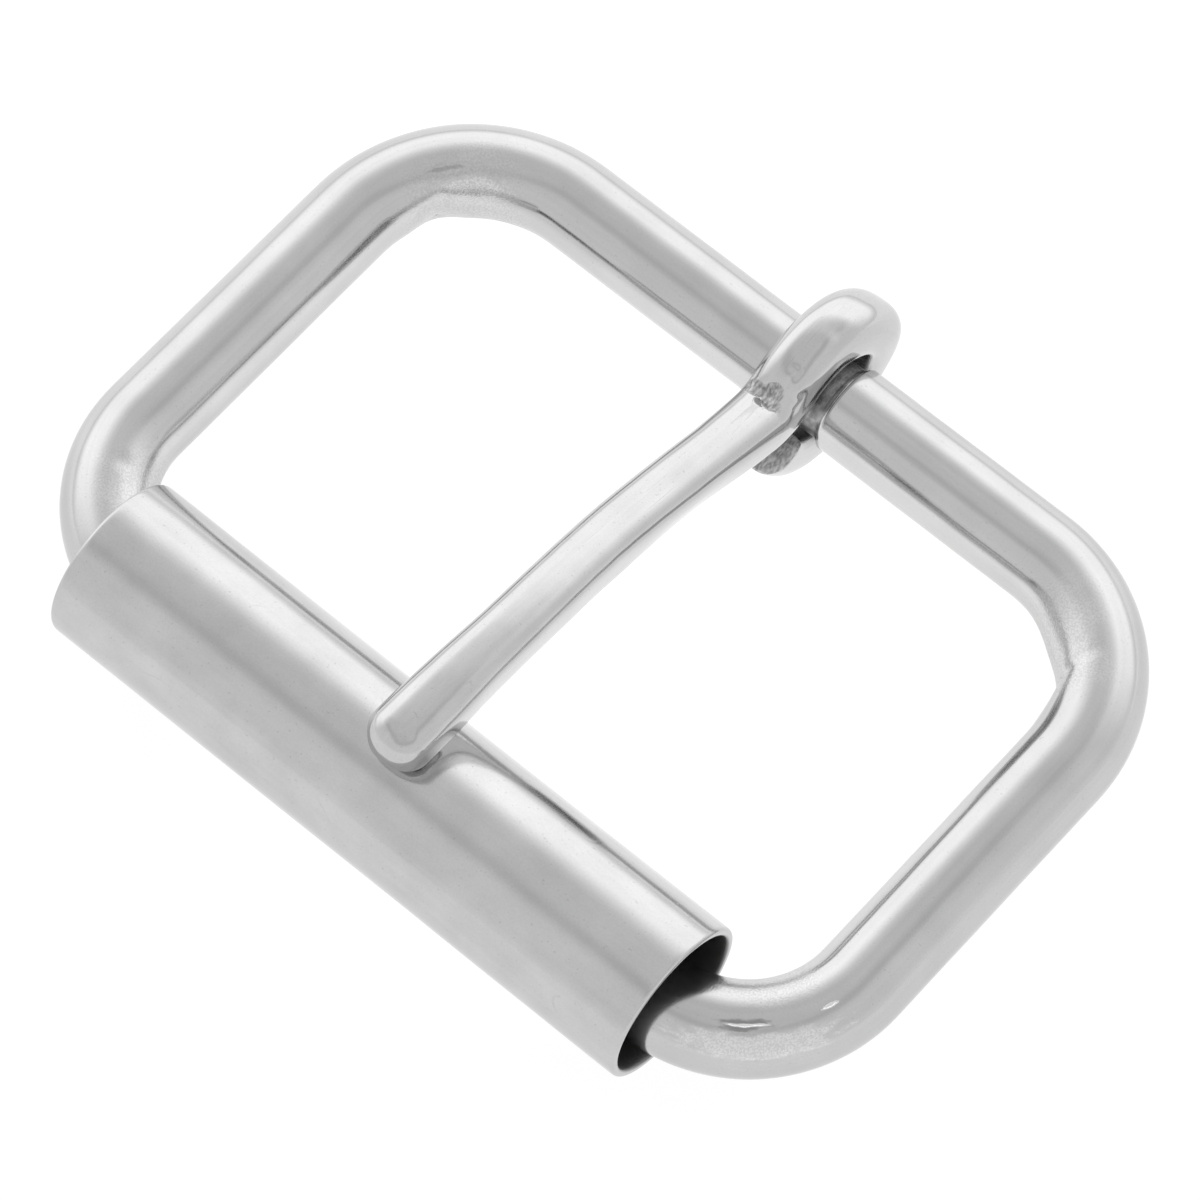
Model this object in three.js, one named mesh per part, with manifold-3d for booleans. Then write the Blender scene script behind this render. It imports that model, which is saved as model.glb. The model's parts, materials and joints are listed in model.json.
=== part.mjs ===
// Heel-bar roller buckle for a dress belt: a bent wire frame, a loose roller on its front bar
// and a tongue curled round its heel bar.
// Millimetres, +Z up. +X runs along the two long bars, +Y from the roller to the heel bar.
// Origin: middle of the whole buckle in X and Y, at the height of its lowest point.

import * as THREE from 'three';
import { mergeVertices } from 'three/addons/utils/BufferGeometryUtils.js';
import Module from 'manifold-3d';

// Frame
const WIRE_D = 4.8;               // round wire
const CLEAR_WIDTH = 41.4;         // opening between the side bars
const CLEAR_DEPTH = 25.6;         // opening between the heel bar and the front bar
const HEEL_BEND_R = 8.1;          // bends beside the heel bar, to the wire's centre
const FRONT_BEND_R = 7.1;         // bends beside the front bar, to the wire's centre
const BUTT_GAP = 0.3;             // between the wire's two ends, inside the roller
const SEAT_DEPTH = 0.3;           // how far the heel bar is pressed down where the tongue sits
const SEAT_PLAY = 1.1;            // seat beyond the tongue's eye, each side
const SEAT_SHOULDER = 0.7;        // length of the slope from the seat back up to full wire

// Roller
const ROLLER_PLAY = 3.1;          // its bore is this much wider than the wire
const ROLLER_WALL = 0.5;
const ROLLER_EDGE = 0.2;          // eased outer edge at each end
const ROLLER_SHIFT = -0.7;        // where it has slid to along its bar

// Tongue
const TONGUE_T = 2.5;             // thickness of the body
const TONGUE_W = 3.2;             // width of the eye and the body
const TIP_W = 3.4;                // width just behind the nose
const EYE_PLAY = 0.9;             // the curl's hole is this much wider than its seat
const EYE_WALL = 2.65;            // thickness of the curl
const TAIL_GAP = 17;              // degrees from the curl's cut end up to the bar's own height
const TIP_REACH = 1.4;            // nose in front of the roller's axis
const NOSE_LENGTH = 2.2;          // rounded stretch of the nose, from above
const NOSE_FLAT = 0.35;           // share of the tip's width left at the very end
const NOSE_ROUND = 0.9;           // rounded stretch of the nose, from the side
const FLARE_LENGTH = 9;           // over which the body widens to the tip
const NECK_ANGLE = 43;            // degrees from the bar's own height up to the neck
const MARK_R = 1.6;               // forming mark in the neck
const MARK_DEPTH = 0.45;
const TONGUE_SHIFT = 0.4;         // where it has slid to along its seat
const EDGE_ROUND = 0.75;          // rounding along the body's edges
const CROWN_ROUND = 1.15;         // rounding along the curl's outer edges
const INNER_ROUND = 0.5;          // rounding along the curl's inner edges

// Clearances
const RUN_GAP = 0.4;              // roller to the bar that it lies on
const BEND_GAP = 0.264;           // roller's end to the wire, where a bend carries the wire sideways
const REST_GAP = 0.3;             // tongue to the roller that it rests on

// How finely round shapes are cut
const WIRE_SIDES = 24;
const FRAME_STEPS = 104;
const ROLLER_SIDES = 48;
const CURL_SIDES = 48;
const ARCH_STEPS = 18;
const NOSE_STEPS = 4;
const EDGE_STEPS = 3;
const RIGHT_ANGLE = Math.PI / 2;

// Sizes that follow from those above
const wireR = WIRE_D / 2;
const boreR = (WIRE_D + ROLLER_PLAY) / 2;
const rollerR = boreR + ROLLER_WALL;
const rollerLift = boreR - wireR - RUN_GAP;
const seatR = wireR - SEAT_DEPTH;
const holeR = seatR + EYE_PLAY / 2;
const eyeR = holeR + EYE_WALL;
const halfWidth = (CLEAR_WIDTH + WIRE_D) / 2;
const barSpacing = CLEAR_DEPTH + WIRE_D;
const seatLength = TONGUE_W + 2 * SEAT_PLAY;
const lowest = Math.min(-eyeR, rollerLift - rollerR);

// The roller runs past the front bar's straight stretch, until the bends have carried the wire
// sideways to within BEND_GAP of the bore.
const drift = Math.sqrt((boreR - wireR - BEND_GAP) ** 2 - rollerLift ** 2);
const pastStraight = Math.sqrt(drift * (2 * FRONT_BEND_R - drift));
const rollerLength = 2 * (halfWidth - FRONT_BEND_R + pastStraight - Math.abs(ROLLER_SHIFT));

// The heel bar's axis and the front bar's axis, from the origin
const heelY = (barSpacing + rollerR - eyeR) / 2;
const frontY = heelY - barSpacing;
const barZ = -lowest;

const wasm = await Module();
wasm.setup();

function toSolid(geometry) {
  const bare = geometry.index ? geometry.toNonIndexed() : geometry.clone();
  bare.deleteAttribute('normal');
  bare.deleteAttribute('uv');
  const merged = mergeVertices(bare, 1e-5);
  return new wasm.Manifold(new wasm.Mesh({
    numProp: 3,
    vertProperties: new Float32Array(merged.attributes.position.array),
    triVerts: new Uint32Array(merged.index.array),
  }));
}

function toGeometry(solid) {
  const mesh = solid.getMesh();
  const geometry = new THREE.BufferGeometry();
  geometry.setAttribute('position', new THREE.BufferAttribute(mesh.vertProperties, 3));
  geometry.setIndex(new THREE.BufferAttribute(mesh.triVerts, 1));
  geometry.computeVertexNormals();
  return geometry;
}

function named(name, geometry, color, roughness) {
  const material = new THREE.MeshStandardMaterial({ color, roughness, metalness: 1 });
  const mesh = new THREE.Mesh(geometry, material);
  mesh.name = name;
  return mesh;
}

// A regular outline whose flats stand at the given radius, with flats facing both axes.
function flatSided(radius, sides) {
  const corner = radius / Math.cos(Math.PI / sides);
  const points = [];
  for (let i = 0; i < sides; i += 1) {
    const angle = (i + 0.5) * 2 * Math.PI / sides;
    points.push(new THREE.Vector2(corner * Math.cos(angle), corner * Math.sin(angle)));
  }
  return new THREE.Shape(points);
}

// One bend of the wire, a quarter turn about (x, y).
class Bend extends THREE.Curve {
  constructor(x, y, radius, start) {
    super();
    Object.assign(this, { x, y, radius, start });
  }

  getPoint(t, target = new THREE.Vector3()) {
    const angle = this.start + t * RIGHT_ANGLE;
    return target.set(
      this.x + this.radius * Math.cos(angle),
      this.y + this.radius * Math.sin(angle),
      0,
    );
  }
}

// The wire's centre line, from one end inside the roller round to the other.
function frameLine() {
  const path = new THREE.CurvePath();
  const right = halfWidth - FRONT_BEND_R;
  const low = frontY + FRONT_BEND_R;
  const heelRight = halfWidth - HEEL_BEND_R;
  const heelLow = heelY - HEEL_BEND_R;
  const line = (x0, y0, x1, y1) => path.add(
    new THREE.LineCurve3(new THREE.Vector3(x0, y0, 0), new THREE.Vector3(x1, y1, 0)),
  );
  line(BUTT_GAP / 2, frontY, right, frontY);
  path.add(new Bend(right, low, FRONT_BEND_R, -RIGHT_ANGLE));
  line(halfWidth, low, halfWidth, heelLow);
  path.add(new Bend(heelRight, heelLow, HEEL_BEND_R, 0));
  line(heelRight, heelY, -heelRight, heelY);
  path.add(new Bend(-heelRight, heelLow, HEEL_BEND_R, RIGHT_ANGLE));
  line(-halfWidth, heelLow, -halfWidth, low);
  path.add(new Bend(-right, low, FRONT_BEND_R, 2 * RIGHT_ANGLE));
  line(-right, frontY, -BUTT_GAP / 2, frontY);
  return path;
}

// A ring turned about X, with the given outline of [x, radius] points.
function turned(outline, sides) {
  const corner = 1 / Math.cos(Math.PI / sides);
  const points = outline.map(([x, radius]) => new THREE.Vector2(radius * corner, x));
  const ring = new THREE.LatheGeometry([...points, points[0]], sides);
  ring.rotateY(Math.PI / sides);
  ring.rotateZ(-RIGHT_ANGLE);
  return ring;
}

function buckleFrame() {
  const wire = new THREE.ExtrudeGeometry(flatSided(wireR, WIRE_SIDES), {
    steps: FRAME_STEPS,
    extrudePath: frameLine(),
  });
  const outside = wireR * 1.5;
  const seat = seatLength / 2;
  const grown = seat + SEAT_SHOULDER * (outside - seatR) / SEAT_DEPTH;
  const waste = turned([[-seat, seatR], [-grown, outside], [grown, outside], [seat, seatR]], WIRE_SIDES);
  waste.translate(0, heelY, 0);
  return toGeometry(toSolid(wire).subtract(toSolid(waste)));
}

function roller() {
  const end = rollerLength / 2;
  return turned([
    [-end, boreR],
    [-end, rollerR - ROLLER_EDGE],
    [-end + ROLLER_EDGE, rollerR],
    [end - ROLLER_EDGE, rollerR],
    [end, rollerR - ROLLER_EDGE],
    [end, boreR],
  ], ROLLER_SIDES);
}

// Turns an outline drawn in (x, y) and extruded in z to lie in (y, z) and run along x.
function acrossX(geometry) {
  return geometry.rotateY(RIGHT_ANGLE).rotateX(RIGHT_ANGLE);
}

// How far the tongue's side stands from its middle, at y from the heel bar's axis.
function halfWidthAt(y) {
  const noseStart = -barSpacing - TIP_REACH + NOSE_LENGTH;
  const flare = THREE.MathUtils.smoothstep(-y, -noseStart - FLARE_LENGTH, -noseStart);
  const full = THREE.MathUtils.lerp(TONGUE_W, TIP_W, flare) / 2;
  const into = THREE.MathUtils.clamp((noseStart - y) / NOSE_LENGTH, 0, 1);
  return full * Math.sqrt(1 - into * into * (1 - NOSE_FLAT * NOSE_FLAT));
}

// An outline in (y, z) drawn out along X, with rounded edges and the tongue's width at each y.
function drawnAcross(shape) {
  const flat = TONGUE_W / 2 - EDGE_ROUND;
  const body = new THREE.ExtrudeGeometry(shape, {
    depth: 2 * flat,
    bevelThickness: EDGE_ROUND,
    bevelSize: EDGE_ROUND,
    bevelOffset: -EDGE_ROUND,
    bevelSegments: EDGE_STEPS,
  });
  body.translate(0, 0, -flat);
  acrossX(body);
  const points = body.attributes.position;
  for (let i = 0; i < points.count; i += 1) {
    points.setX(i, points.getX(i) * halfWidthAt(points.getY(i)) / (TONGUE_W / 2));
  }
  return body;
}

// The section of the curl as [x, radius] points: a bar with rounded corners.
function curlSection() {
  const side = TONGUE_W / 2;
  const corners = [
    [-side + INNER_ROUND, holeR + INNER_ROUND, INNER_ROUND, 270],
    [-side + CROWN_ROUND, eyeR - CROWN_ROUND, CROWN_ROUND, 180],
    [side - CROWN_ROUND, eyeR - CROWN_ROUND, CROWN_ROUND, 90],
    [side - INNER_ROUND, holeR + INNER_ROUND, INNER_ROUND, 0],
  ];
  const outline = [];
  corners.forEach(([x, radius, round, from]) => {
    for (let i = 0; i <= EDGE_STEPS; i += 1) {
      const angle = THREE.MathUtils.degToRad(from - 90 * i / EDGE_STEPS);
      outline.push([x + round * Math.cos(angle), radius + round * Math.sin(angle)]);
    }
  });
  return outline;
}

// The curl round the heel bar, open between its cut end below and the neck.
function curl() {
  const spoke = (degrees) => {
    const angle = THREE.MathUtils.degToRad(degrees);
    return new THREE.Vector2(2 * eyeR * Math.cos(angle), 2 * eyeR * Math.sin(angle));
  };
  const mouth = new THREE.Shape([new THREE.Vector2(0, 0), spoke(180 - NECK_ANGLE), spoke(180 + TAIL_GAP)]);
  const waste = new THREE.ExtrudeGeometry(mouth, { depth: 2 * TONGUE_W, bevelEnabled: false });
  waste.translate(0, 0, -TONGUE_W);
  return toSolid(turned(curlSection(), CURL_SIDES)).subtract(toSolid(acrossX(waste)));
}

// The arched body, from inside the curl to the nose that rests on the roller.
function arch() {
  const bandR = (eyeR + holeR) / 2;
  const overRoller = rollerR + REST_GAP + TONGUE_T / 2;
  const root = new THREE.Vector2(-0.62 * bandR, 0.49 * bandR);
  const crest = new THREE.Vector2(-barSpacing, rollerLift + overRoller);
  const rise = crest.y - root.y;
  const span = crest.x - root.x;
  const line = new THREE.CubicBezierCurve(
    root,
    new THREE.Vector2(root.x + 0.29 * span, root.y + 0.38 * rise),
    new THREE.Vector2(root.x + 0.63 * span, root.y + 0.94 * rise),
    crest,
  );
  const upper = [];
  const lower = [];
  const add = (centre, ahead) => {
    const side = new THREE.Vector2(ahead.y, -ahead.x).multiplyScalar(TONGUE_T / 2);
    upper.push(centre.clone().add(side));
    lower.unshift(centre.clone().sub(side));
  };
  for (let i = 0; i < ARCH_STEPS; i += 1) {
    add(line.getPoint(i / ARCH_STEPS), line.getTangent(i / ARCH_STEPS));
  }
  const turn = Math.asin((TIP_REACH - NOSE_ROUND) / overRoller);
  for (let i = 0; i <= NOSE_STEPS; i += 1) {
    const angle = turn * i / NOSE_STEPS;
    const ahead = new THREE.Vector2(-Math.cos(angle), -Math.sin(angle));
    const spoke = new THREE.Vector2(-Math.sin(angle), Math.cos(angle)).multiplyScalar(overRoller);
    add(spoke.add(new THREE.Vector2(-barSpacing, rollerLift)), ahead);
  }
  const nose = [];
  const end = upper.at(-1).clone().add(lower[0]).multiplyScalar(0.5);
  const ahead = new THREE.Vector2(-Math.cos(turn), -Math.sin(turn)).multiplyScalar(NOSE_ROUND);
  const half = upper.at(-1).clone().sub(end);
  for (let i = 1; i < 2 * NOSE_STEPS; i += 1) {
    const angle = RIGHT_ANGLE * (1 - i / NOSE_STEPS);
    nose.push(end.clone().addScaledVector(ahead, Math.cos(angle)).addScaledVector(half, Math.sin(angle)));
  }
  return new THREE.Shape([...upper, ...nose, ...lower]);
}

// The mark left in the neck by the tool that bent the curl over.
function neckMark() {
  const angle = THREE.MathUtils.degToRad(180 - NECK_ANGLE);
  const mark = new THREE.SphereGeometry(MARK_R, 24, 16);
  const away = eyeR + MARK_R - MARK_DEPTH;
  mark.translate(0, away * Math.cos(angle), away * Math.sin(angle));
  return mark;
}

function tongue() {
  const whole = curl().add(toSolid(drawnAcross(arch())));
  return toGeometry(whole.subtract(toSolid(neckMark())));
}

const frameMesh = named('buckle_frame', buckleFrame(), 0xc9cacc, 0.22);
frameMesh.position.set(0, 0, barZ);

const rollerMesh = named('roller', roller(), 0xd3d4d6, 0.14);
rollerMesh.position.set(ROLLER_SHIFT, frontY, barZ + rollerLift);

const tongueMesh = named('tongue', tongue(), 0xcccdcf, 0.18);
tongueMesh.position.set(TONGUE_SHIFT, heelY, barZ);

const buckle = new THREE.Group();
buckle.add(frameMesh, rollerMesh, tongueMesh);

export default buckle;
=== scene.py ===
import json
import math

import bmesh
import bpy
from mathutils import Matrix, Vector


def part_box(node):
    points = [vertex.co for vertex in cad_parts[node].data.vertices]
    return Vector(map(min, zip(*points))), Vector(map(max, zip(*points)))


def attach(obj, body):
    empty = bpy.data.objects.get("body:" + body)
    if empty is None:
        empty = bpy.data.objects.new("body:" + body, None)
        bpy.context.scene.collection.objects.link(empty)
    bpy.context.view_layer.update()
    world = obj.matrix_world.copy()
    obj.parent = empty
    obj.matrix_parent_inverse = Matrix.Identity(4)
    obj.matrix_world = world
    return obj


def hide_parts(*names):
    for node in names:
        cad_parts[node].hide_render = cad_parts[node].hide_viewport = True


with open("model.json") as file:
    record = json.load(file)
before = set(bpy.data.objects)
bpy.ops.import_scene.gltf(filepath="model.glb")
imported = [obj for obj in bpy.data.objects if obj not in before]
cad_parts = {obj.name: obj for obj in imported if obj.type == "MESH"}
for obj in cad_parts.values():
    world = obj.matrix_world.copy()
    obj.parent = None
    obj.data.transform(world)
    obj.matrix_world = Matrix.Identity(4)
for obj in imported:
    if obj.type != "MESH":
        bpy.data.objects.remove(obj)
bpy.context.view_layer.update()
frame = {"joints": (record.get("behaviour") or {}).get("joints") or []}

MM = 0.001
QUARTER = math.pi / 2
TOUCHING = 1e-6


# --- sizes, read from the frame or given in metres -------------------------------------------------

wire_low, wire_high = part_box("buckle_frame")
WIRE = wire_high.z - wire_low.z
WIRE_R = WIRE / 2
HALF_WIDTH = (wire_high.x - wire_low.x - WIRE) / 2
HEEL_Y = wire_high.y - WIRE_R
FRONT_Y = wire_low.y + WIRE_R
BAR_Z = (wire_low.z + wire_high.z) / 2
BAR_SPACING = HEEL_Y - FRONT_Y

HEEL_BEND_R = 8.1 * MM
FRONT_BEND_R = 7.1 * MM
BUTT_GAP = 0.3 * MM
WIRE_SIDES = 40
WIRE_STEP = 0.42 * MM
BEND_STEPS = 28
END_CHAMFER = 0.25 * MM

roller_low, roller_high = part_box("roller")
ROLLER_R = (roller_high.z - roller_low.z) / 2
ROLLER_AXIS = (roller_low + roller_high) / 2
ROLLER_HALF = (roller_high.x - roller_low.x) / 2
ROLLER_WALL = 0.5 * MM
ROLLER_BORE_R = ROLLER_R - ROLLER_WALL
ROLLER_SIDES = 72
RIM_EASE = 0.16 * MM
BORE_DEPTH = (0.3 * MM, 0.45 * MM)

tongue_low, tongue_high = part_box("tongue")
swing = next(joint for joint in frame["joints"] if joint["name"] == "tongue_swing")
EYE_AXIS = Vector(swing["pos_m"])
EYE_R = EYE_AXIS.z - tongue_low.z
EYE_WALL = 2.65 * MM
EYE_BAND_R = EYE_R - EYE_WALL / 2
TONGUE_W = 3.2 * MM
WAIST_W = 3.04 * MM
TIP_W = 3.42 * MM
TONGUE_T = 2.5 * MM
OUTER_ROUND = 1.25 * MM
INNER_ROUND = 0.5 * MM


# --- working in edit mode --------------------------------------------------------------------------

def put_down():
    """Object mode, with nothing selected."""
    if bpy.context.object and bpy.context.object.mode != "OBJECT":
        bpy.ops.object.mode_set(mode="OBJECT")
    bpy.ops.object.select_all(action="DESELECT")


def pick_up(piece):
    put_down()
    piece.select_set(True)
    bpy.context.view_layer.objects.active = piece


def start(name):
    """Names the primitive just added, sets its place into its mesh and opens it in edit mode."""
    piece = bpy.context.object
    piece.name = piece.data.name = name
    bpy.ops.object.transform_apply(location=True, rotation=True, scale=True)
    bpy.ops.object.mode_set(mode="EDIT")
    bpy.ops.mesh.select_mode(type="VERT")
    return piece


def choose(test):
    """Selects the vertices whose place passes the test, and no others."""
    mesh = bmesh.from_edit_mesh(bpy.context.object.data)
    for vert in mesh.verts:
        vert.select = bool(test(vert.co))
    mesh.select_flush_mode()
    bmesh.update_edit_mesh(bpy.context.object.data)


def pull(direction):
    """Extrudes what is selected by a vector."""
    bpy.ops.mesh.extrude_region_move(TRANSFORM_OT_translate={"value": tuple(direction)})


def pull_along(direction, steps):
    for _ in range(steps):
        pull(direction / steps)


def swing_round(centre, axis, angle, steps):
    """Carries what is selected round an axis, leaving a wall behind it."""
    bpy.ops.mesh.spin(steps=steps, angle=-angle, center=tuple(centre), axis=tuple(axis))


def scale_about(centre, x=1.0, y=1.0, z=1.0):
    bpy.ops.transform.resize(value=(x, y, z), center_override=tuple(centre))


def shift_softly(move, reach, falloff):
    """Moves what is selected, and all round it less and less up to the reach."""
    bpy.ops.transform.translate(value=tuple(move), use_proportional_edit=True,
                                proportional_edit_falloff=falloff, proportional_size=reach)


def nudge(place, move, reach, falloff="SMOOTH"):
    """Moves the vertex nearest to a place, and its neighbours less and less up to the reach."""
    place = Vector(place)
    mesh = bmesh.from_edit_mesh(bpy.context.object.data)
    nearest = min(mesh.verts, key=lambda vert: (vert.co - place).length_squared)
    spot = nearest.co.copy()
    choose(lambda co: (co - spot).length < TOUCHING / 10)
    shift_softly(move, reach, falloff)


def close_end(test):
    choose(test)
    bpy.ops.mesh.edge_face_add()


def finish_mesh(piece, levels):
    """Turns the normals out, subdivides and smooths the shading."""
    bpy.ops.mesh.select_all(action="SELECT")
    bpy.ops.mesh.remove_doubles(threshold=TOUCHING)
    bpy.ops.mesh.normals_make_consistent(inside=False)
    pick_up(piece)
    smooth = piece.modifiers.new("smooth", "SUBSURF")
    smooth.levels = smooth.render_levels = levels
    bpy.ops.object.modifier_apply(modifier=smooth.name)
    bpy.ops.object.shade_smooth()


def reopen(piece):
    pick_up(piece)
    bpy.ops.object.mode_set(mode="EDIT")


def weigh(piece, name, weight):
    """A vertex group whose weight follows from each vertex's place."""
    put_down()
    group = piece.vertex_groups.new(name=name)
    for vert in piece.data.vertices:
        share = weight(vert.co)
        if share > 0:
            group.add([vert.index], share, "REPLACE")


def paint(piece, name, value):
    """Keeps a number, or a vector, for each vertex, for the finishes to read."""
    put_down()
    sample = value(piece.data.vertices[0].co)
    if isinstance(sample, Vector):
        layer = piece.data.attributes.new(name, "FLOAT_VECTOR", "POINT")
        for vert in piece.data.vertices:
            layer.data[vert.index].vector = value(vert.co)
    else:
        layer = piece.data.attributes.new(name, "FLOAT", "POINT")
        for vert in piece.data.vertices:
            layer.data[vert.index].value = value(vert.co)


def uneven(piece, name, size, height, group=""):
    """Raises and lowers the skin a little, at random but the same each time."""
    pick_up(piece)
    clouds = bpy.data.textures.new(name, "CLOUDS")
    clouds.noise_scale = size
    clouds.noise_depth = 2
    rough = piece.modifiers.new(name, "DISPLACE")
    rough.texture = clouds
    rough.texture_coords = "LOCAL"
    rough.strength = height * 2
    rough.mid_level = 0.5
    rough.vertex_group = group
    bpy.ops.object.modifier_apply(modifier=rough.name)


def ramp(value, low, high):
    """0 below low, 1 above high, and a soft rise between."""
    t = min(max((value - low) / (high - low), 0.0), 1.0)
    return t * t * (3 - 2 * t)


# --- the wire frame --------------------------------------------------------------------------------

FRONT_RIGHT = Vector((HALF_WIDTH - FRONT_BEND_R, FRONT_Y + FRONT_BEND_R, BAR_Z))
FRONT_LEFT = Vector((-FRONT_RIGHT.x, FRONT_RIGHT.y, BAR_Z))
HEEL_RIGHT = Vector((HALF_WIDTH - HEEL_BEND_R, HEEL_Y - HEEL_BEND_R, BAR_Z))
HEEL_LEFT = Vector((-HEEL_RIGHT.x, HEEL_RIGHT.y, BAR_Z))
UP = Vector((0, 0, 1))

SEAT_LEFT = -1.25 * MM
SEAT_RIGHT = 2.35 * MM
SEAT_SHOULDER = 0.24 * MM
SEAT_EASE = 0.1 * MM
SEAT_WAIST = 0.875
SEAT_EDGE = 0.1 * MM

# how bright the satin of a bend is on its outside, as a share of its inside
OUTSIDE_SHARE = 0.35


def wire_run(length_vector):
    """A straight length of wire, in rings a step apart."""
    pull_along(length_vector, max(1, round(length_vector.length / WIRE_STEP)))


def necked_heel_bar():
    """The heel bar, from right to left, with its middle pressed down as a seat for the tongue."""
    ease = Vector((-SEAT_EASE, 0, 0))
    shoulder = Vector((-SEAT_SHOULDER, 0, 0))
    middle = (0, HEEL_Y, BAR_Z)
    brim = SEAT_SHOULDER + SEAT_EASE
    wire_run(Vector((SEAT_RIGHT + brim - HEEL_RIGHT.x, 0, 0)))
    pull(ease)
    pull(shoulder)
    scale_about(middle, y=SEAT_WAIST, z=SEAT_WAIST)
    pull(ease)
    wire_run(Vector((SEAT_LEFT - SEAT_RIGHT + 2 * SEAT_EASE, 0, 0)))
    pull(ease)
    pull(shoulder)
    scale_about(middle, y=1 / SEAT_WAIST, z=1 / SEAT_WAIST)
    pull(ease)
    wire_run(Vector((HEEL_LEFT.x - SEAT_LEFT + brim, 0, 0)))


def in_seat(co):
    """1 in the tongue's seat, where the bar is painted dark as the shade under the tongue's eye, with a
    crisp edge on its right.
    """
    if co.y < HEEL_Y - WIRE:
        return 0.0
    right = SEAT_RIGHT + SEAT_SHOULDER / 2
    return ramp(co.x, SEAT_LEFT - SEAT_SHOULDER, SEAT_LEFT) * (
        1 - ramp(co.x, right - SEAT_EDGE, right + SEAT_EDGE))


def along_wire(co):
    """How far outward and up a point lies from the wire's centre line, and how far along it."""
    x = abs(co.x)
    up = co.z - BAR_Z
    to_side = FRONT_RIGHT.x + QUARTER * FRONT_BEND_R
    to_heel = to_side + HEEL_RIGHT.y - FRONT_RIGHT.y
    half = to_heel + QUARTER * HEEL_BEND_R + HEEL_RIGHT.x
    if co.y < FRONT_RIGHT.y and x > FRONT_RIGHT.x:
        away = Vector((x - FRONT_RIGHT.x, FRONT_RIGHT.y - co.y))
        out = away.length - FRONT_BEND_R
        along = to_side - FRONT_BEND_R * math.atan2(away.y, away.x)
    elif co.y > HEEL_RIGHT.y and x > HEEL_RIGHT.x:
        away = Vector((x - HEEL_RIGHT.x, co.y - HEEL_RIGHT.y))
        out = away.length - HEEL_BEND_R
        along = to_heel + HEEL_BEND_R * math.atan2(away.y, away.x)
    elif co.y < FRONT_RIGHT.y:
        out = FRONT_Y - co.y
        along = x
    elif co.y > HEEL_RIGHT.y:
        out = co.y - HEEL_Y
        along = half - x
    else:
        out = x - HALF_WIDTH
        along = to_side + co.y - FRONT_RIGHT.y
    return Vector((out, up, along if co.x > 0 else 2 * half - along))


def bent(co):
    """1 in the middle of a bend, most of all on its inside, and 0 on the straight."""
    x = abs(co.x)
    for centre in (FRONT_RIGHT, HEEL_RIGHT):
        ahead = (co.y - centre.y) * math.copysign(1, centre.y)
        if ahead > 0 and x > centre.x:
            turn = math.atan2(ahead, x - centre.x)
            inside = 1 - ramp(along_wire(co).x, -WIRE_R, WIRE_R * 0.6)
            return math.sin(2 * turn) * (OUTSIDE_SHARE + (1 - OUTSIDE_SHARE) * inside)
    return 0.0


class Bend:
    """One bend of the wire. Places on it are given as degrees from the side bar, and degrees round
    the wire from its outside over the top."""

    def __init__(self, centre, radius):
        self.centre = centre
        self.radius = radius
        self.side = math.copysign(1, centre.x)
        self.end = math.copysign(1, centre.y)

    def outward(self, turn):
        turn = math.radians(turn)
        return Vector((self.side * math.cos(turn), self.end * math.sin(turn), 0))

    def normal(self, turn, round_wire):
        round_wire = math.radians(round_wire)
        return self.outward(turn) * math.cos(round_wire) + UP * math.sin(round_wire)

    def place(self, turn, round_wire):
        return self.centre + self.outward(turn) * self.radius + self.normal(turn, round_wire) * WIRE_R

    def press(self, turn, round_wire, depth, reach, falloff="SMOOTH"):
        """Pushes the skin in by a depth, or out if that is negative."""
        nudge(self.place(turn, round_wire), self.normal(turn, round_wire) * -depth, reach, falloff)


FRONT_RIGHT_BEND = Bend(FRONT_RIGHT, FRONT_BEND_R)
FRONT_LEFT_BEND = Bend(FRONT_LEFT, FRONT_BEND_R)
HEEL_RIGHT_BEND = Bend(HEEL_RIGHT, HEEL_BEND_R)
HEEL_LEFT_BEND = Bend(HEEL_LEFT, HEEL_BEND_R)

# marks on the bends, degrees from the side bar and degrees round the wire: nicks painted with a glint, a
# painted dark reflection, a painted dark glint, and patches of painted sheen
LONG_NICK = (50, 71)
SHORT_NICK = (20, 73)
DARK_REFLECTION_AT = (51, 71)
DARK_GLINT = (39, 114)
HEEL_SHEEN = (50, 140)
FRONT_SHEEN = (46, 46)


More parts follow.
